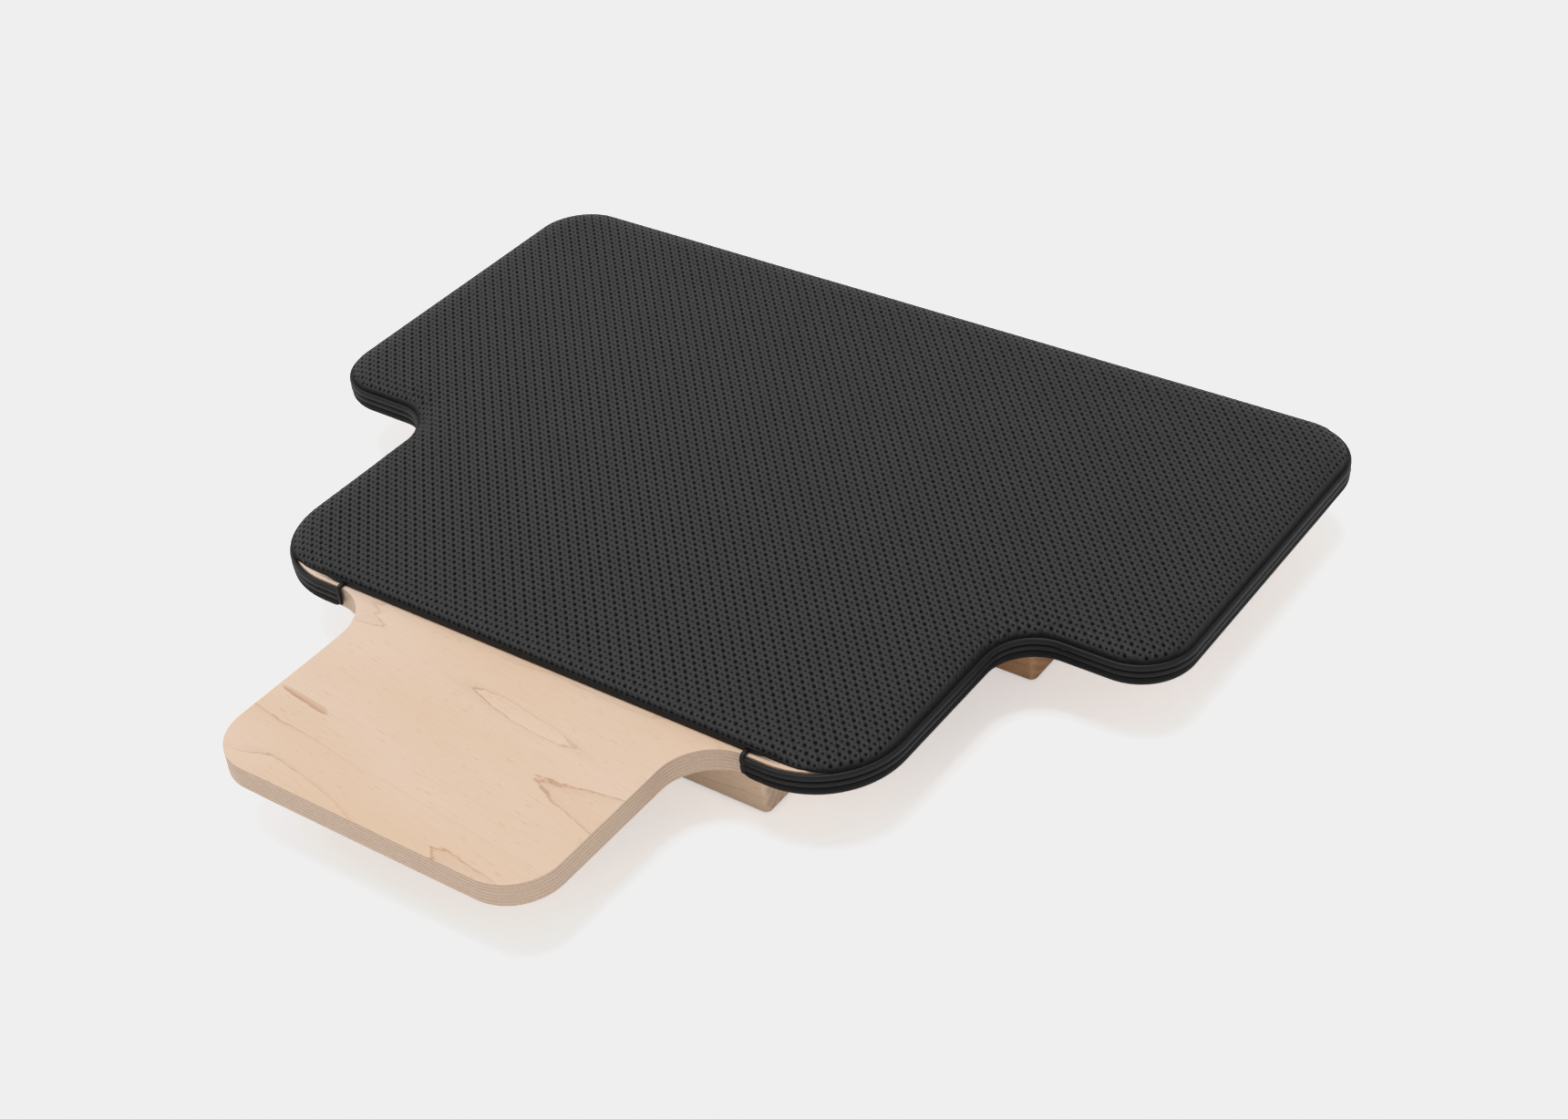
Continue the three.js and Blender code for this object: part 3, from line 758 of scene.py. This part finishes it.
def edge_band():
    path = both_sides(right_side(0, OUTLINE_STEP))
    piping = sweep("piping_roll", path, roll_section(piping_low, piping_high), edge_trim_material, "topper",
                   sewn_wobble(ROLL_STITCH, 0.12 * MM, 0.05 * MM))
    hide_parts("piping")
    roll = sweep("side_roll_band", path, roll_section(roll_low, roll_high), edge_trim_material, "topper",
                 sewn_wobble(ROLL_STITCH, 0.10 * MM, 0.04 * MM))
    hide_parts("side_roll")
    hem = sweep("elastic_hem", path, hem_section(), ribbed_elastic(), "topper",
                sewn_wobble(HEM_STITCH, 0.06 * MM, 0.06 * MM))
    round_ends(hem, path)
    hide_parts("hem_band")


def front_hem():
    """The turned edge of the pad's straight front, lying on the deck, thinning out past the bindings."""
    half = front_hem_high.x - FRONT_HEM_SHORTER
    count = round(2 * half / OUTLINE_STEP)
    middle = -(front_hem_low.y + front_hem_high.y) / 2
    half_depth = (front_hem_high.y - front_hem_low.y) / 2
    half_height = (front_hem_high.z - front_hem_low.z) / 2
    sides = 20
    wobble = sewn_wobble(FRONT_STITCH, 0.10 * MM, 0.05 * MM)
    rows = []
    for i in range(count + 1):
        x = -half + 2 * half * i / count
        thin = np.clip((half - abs(x)) / (half - POCKET_END_X), 0, 1)
        keep = 0.25 + 0.75 * math.sin(math.pi / 2 * thin)
        z = front_hem_low.z + half_height * (2 - keep)
        section = oval(middle, z, half_depth * keep, half_height * keep, sides, 3.0)
        for k, (offset, height) in enumerate(section):
            extra, lift = wobble(x + half, k / sides)
            rows.append((x, -(offset - (1 - keep) * half_depth + extra * keep), height + lift * keep))
    obj = make_object("front_hem_fold", rows, tube_faces(count + 1, sides), shaded_fold_material,
                      "topper", CREASE_ANGLE)
    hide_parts("front_hem")


def pocket_binding(name, node, side):
    """A bound strip up the end of the band and over the deck's edge to the front hem."""
    low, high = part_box(node)
    half_width = (high.x - low.x) / 2 * 1.25
    x_middle = (low.x + high.x) / 2
    half_thick = BINDING_HALF_THICKNESS
    outer = SHOULDER_Y - BAND_OUT + half_thick
    top = high.z - 0.1 * MM
    bend = BINDING_BEND
    foot = hem_low.z + HEM_END_RADIUS * 0.6
    path = [(outer, foot + (top - bend - foot) * i / 14) for i in range(15)]
    for k in range(1, 9):
        a = math.pi / 2 * k / 8
        path.append((outer + bend * (1 - math.cos(a)), top - bend + bend * math.sin(a)))
    end_y = front_hem_low.y + 0.5 * MM
    path += [(outer + bend + (end_y - outer - bend) * i / 4, top) for i in range(1, 5)]
    vertices, sides = [], 16
    for i, (y, z) in enumerate(path):
        before, after = path[max(i - 1, 0)], path[min(i + 1, len(path) - 1)]
        length = math.hypot(after[0] - before[0], after[1] - before[1])
        out = (-(after[1] - before[1]) / length, (after[0] - before[0]) / length)
        end = min(i, len(path) - 1 - i)
        pinch = (0.72, 0.92)[end] if end < 2 else 1 + 0.03 * math.sin(i * 1.9)
        for u, v in oval(0, 0, half_width * pinch, half_thick * pinch, sides, 2.6):
            vertices.append((x_middle + side * u, y + out[0] * v, z + out[1] * v))
    faces = [face[::side] for face in tube_faces(len(path), sides)]
    obj = make_object(name, vertices, faces, edge_trim_material, "topper", CREASE_ANGLE)
    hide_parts(node)


def backing():
    """Woven cloth under the foam, which lies on the deck."""
    low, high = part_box("topper_backing")
    margin = DECK_HALF_WIDTH - high.x
    outline = both_sides(right_side(-margin, OUTLINE_STEP, low.y))
    corner = outline[0, 0]
    front = spaced_line((-corner, low.y), (corner, low.y), (0, -1), OUTLINE_STEP)[1:]
    plan = np.concatenate([outline, np.array(front)])[:, :2]
    ring = len(plan)
    centre = plan.mean(0)
    rows = []
    for inset, z in ((0.5, low.z), (0.0, low.z + 0.35 * MM), (0.0, high.z - 0.35 * MM), (0.5, high.z)):
        pulled = plan - (plan - centre) / np.linalg.norm(plan - centre, axis=1)[:, None] * inset * MM
        rows.append(np.column_stack([pulled, np.full(ring, z)]))
    faces = [tuple(reversed(range(ring))), tuple(range(3 * ring, 4 * ring))]
    for r in range(3):
        for i in range(ring):
            k = (i + 1) % ring
            faces.append((r * ring + i, r * ring + k, (r + 1) * ring + k, (r + 1) * ring + i))
    obj = make_object("backing_sheet", np.concatenate(rows), faces, backing_cloth(), "topper", 40)
    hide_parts("topper_backing")


# ======================================================================
# Base: the CAD nodes with rounded edges and finished materials
# ======================================================================

def dress(node, material, bevel, segments=3):
    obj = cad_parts[node]
    obj.data.materials.clear()
    obj.data.materials.append(material)
    obj.data.polygons.foreach_set("use_smooth", [True] * len(obj.data.polygons))
    weld = obj.modifiers.new("weld", "WELD")
    weld.merge_threshold = 0.00001
    flat = obj.modifiers.new("flat_faces", "DECIMATE")
    flat.decimate_type = "DISSOLVE"
    flat.angle_limit = math.radians(0.5)
    if bevel:
        round_over = obj.modifiers.new("edges", "BEVEL")
        round_over.width = bevel
        round_over.segments = segments
        round_over.limit_method = "ANGLE"
        round_over.angle_limit = math.radians(40)
        round_over.harden_normals = False
    normals = obj.modifiers.new("normals", "WEIGHTED_NORMAL")
    normals.keep_sharp = True
    normals.weight = 60


def base():
    dress("deck", maple_ply(), DECK_EDGE)
    # The two beams are one maple in two copies: the front one painted lighter, painted light, and the rear
    # one darker and warmer, painted shade, as it stands in shade under the wing.
    beams = {
        "front_beam": solid_maple("maple_painted_light", srgb(244, 222, 198), srgb(238, 210, 182),
                                  srgb(190, 146, 110)),
        "rear_beam": solid_maple("maple_painted_shade", srgb(216, 172, 132), srgb(204, 154, 114),
                                 srgb(146, 96, 62)),
    }
    rubber = grip_rubber()
    steel = screw_steel()
    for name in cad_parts:
        if name in beams:
            dress(name, beams[name], BEAM_EDGE)
        elif "grip_pad" in name:
            dress(name, rubber, GRIP_EDGE, 2)
        elif "screw" in name:
            dress(name, steel, SCREW_EDGE, 2)


# ======================================================================
# Floor, light and camera
# ======================================================================

FLOOR_COLOR = (0.80, 0.79, 0.78)
FLOOR_IN_VIEW = (1.00, 0.97, 0.955)
FLOOR_GLOW = 0.48                    # painted light: the paper in view glows by this much, a flare over it, so that only its deep shadows show
PAPER_WHITE = 0.863                  # what the brightest paper comes out as
PLAIN_TONES = 0.80                   # tones up to here are left as they are
CAMERA_PLACE = (0.8697, -0.99165, 1.0240)
CAMERA_AZIMUTH = 38.40
CAMERA_ELEVATION = 36.95
CAMERA_ROLL = -5.47
LENS = 57.9
SENSOR = 36                          # millimetres, as is the lens
FLOOR_SIZE = 60
FLOOR_LIFT = 1e-4                    # the sheet in view lies this far above the other
SKY = ((0.0, 0.86), (0.10, 0.84), (0.30, 0.56), (0.52, 0.56), (0.70, 0.26), (1.0, 0.46))
LAMPS = (("overhead", 265, 86, 1.75, 24), ("key", 268, 46, 0.45, 40))


def floor():
    """Pale paper that lights the board, and above it the sheet that is seen, its faint shadows burnt out."""
    sheets = (("floor", FLOOR_COLOR, 0, False), ("floor_in_view", FLOOR_IN_VIEW, FLOOR_LIFT, True))
    for name, color, height, in_view in sheets:
        bpy.ops.mesh.primitive_plane_add(size=FLOOR_SIZE, location=(0, 0, height))
        obj = bpy.context.object
        obj.name = name
        glow = FLOOR_GLOW if in_view else 0
        s = Shader(name + "_paper", roughness=0.9, specular_ior_level=0.0,
                   emission_color=(glow, glow, glow, 1), emission_strength=1.0)
        mottle = s.math("MULTIPLY", s.noise(s.object_place(), 3.0, detail=2), 0.04)
        paper = s.mix(mottle, rgba(color), rgba(tuple(0.9 * c for c in color)))
        obj.data.materials.append(s.finish(paper, 0.9))
        obj.visible_camera = in_view
        obj.visible_diffuse = obj.visible_glossy = obj.visible_transmission = obj.visible_shadow = not in_view


def sun(name, azimuth, elevation, strength, softness):
    """A wide lamp far away. Azimuth 0 is in front, 90 on +X, 180 behind."""
    data = bpy.data.lights.new(name, "SUN")
    data.energy = strength
    data.angle = math.radians(softness)
    light = bpy.data.objects.new(name, data)
    bpy.context.scene.collection.objects.link(light)
    a, e = math.radians(azimuth), math.radians(elevation)
    back = Vector((math.sin(a) * math.cos(e), -math.cos(a) * math.cos(e), math.sin(e)))
    light.rotation_mode = "QUATERNION"
    light.rotation_quaternion = (-back).to_track_quat("-Z", "Y")


def lights():
    world = bpy.data.worlds.new("studio")
    world.use_nodes = True
    nodes, links = world.node_tree.nodes, world.node_tree.links
    height = nodes.new("ShaderNodeSeparateXYZ")
    links.new(nodes.new("ShaderNodeTexCoord").outputs["Generated"], height.inputs[0])
    ramp = nodes.new("ShaderNodeValToRGB")
    links.new(height.outputs["Z"], ramp.inputs[0])
    while len(ramp.color_ramp.elements) < len(SKY):
        ramp.color_ramp.elements.new(0.5)
    for element, (place, level) in zip(ramp.color_ramp.elements, SKY):
        element.position = place
        element.color = (level, level, level, 1)
    links.new(ramp.outputs[0], nodes["Background"].inputs["Color"])
    bpy.context.scene.world = world
    for lamp in LAMPS:
        sun(*lamp)


def camera():
    data = bpy.data.cameras.new("camera")
    data.lens = LENS
    data.sensor_width = SENSOR
    data.clip_end = 100
    obj = bpy.data.objects.new("camera", data)
    bpy.context.scene.collection.objects.link(obj)
    a, e, roll = (math.radians(v) for v in (CAMERA_AZIMUTH, CAMERA_ELEVATION, CAMERA_ROLL))
    back = Vector((math.sin(a) * math.cos(e), -math.cos(a) * math.cos(e), math.sin(e)))
    level = Vector((math.cos(a), math.sin(a), 0))
    upright = back.cross(level)
    right = level * math.cos(roll) + upright * math.sin(roll)
    up = upright * math.cos(roll) - level * math.sin(roll)
    turn = Matrix((right, up, back)).transposed().to_4x4()
    obj.matrix_world = Matrix.Translation(CAMERA_PLACE) @ turn
    bpy.context.scene.camera = obj


def color_management():
    view = bpy.context.scene.view_settings
    view.view_transform = "Standard"
    view.look = "None"
    view.exposure = 0
    view.gamma = 1
    view.use_curve_mapping = True
    tones = view.curve_mapping
    tones.extend = "HORIZONTAL"
    curve = tones.curves[3]
    curve.points[1].location = (1.0, PAPER_WHITE)
    curve.points.new(PLAIN_TONES, PLAIN_TONES)
    for point in curve.points:
        point.handle_type = "VECTOR"
    tones.update()


edge_trim_material = edge_trim("edge_trim", srgb(10, 10, 12), srgb(16, 16, 18), 0.32)
# A darker copy of the edge trim for the front fold: painted shade.
shaded_fold_material = edge_trim("folded_edge_painted_shade", srgb(7, 7, 8), srgb(12, 12, 13), 0.22)
base()
perforated_pad()
edge_band()
front_hem()
pocket_binding("left_binding", "left_pocket_binding", -1)
pocket_binding("right_binding", "right_pocket_binding", 1)
backing()
floor()
lights()
camera()
color_management()
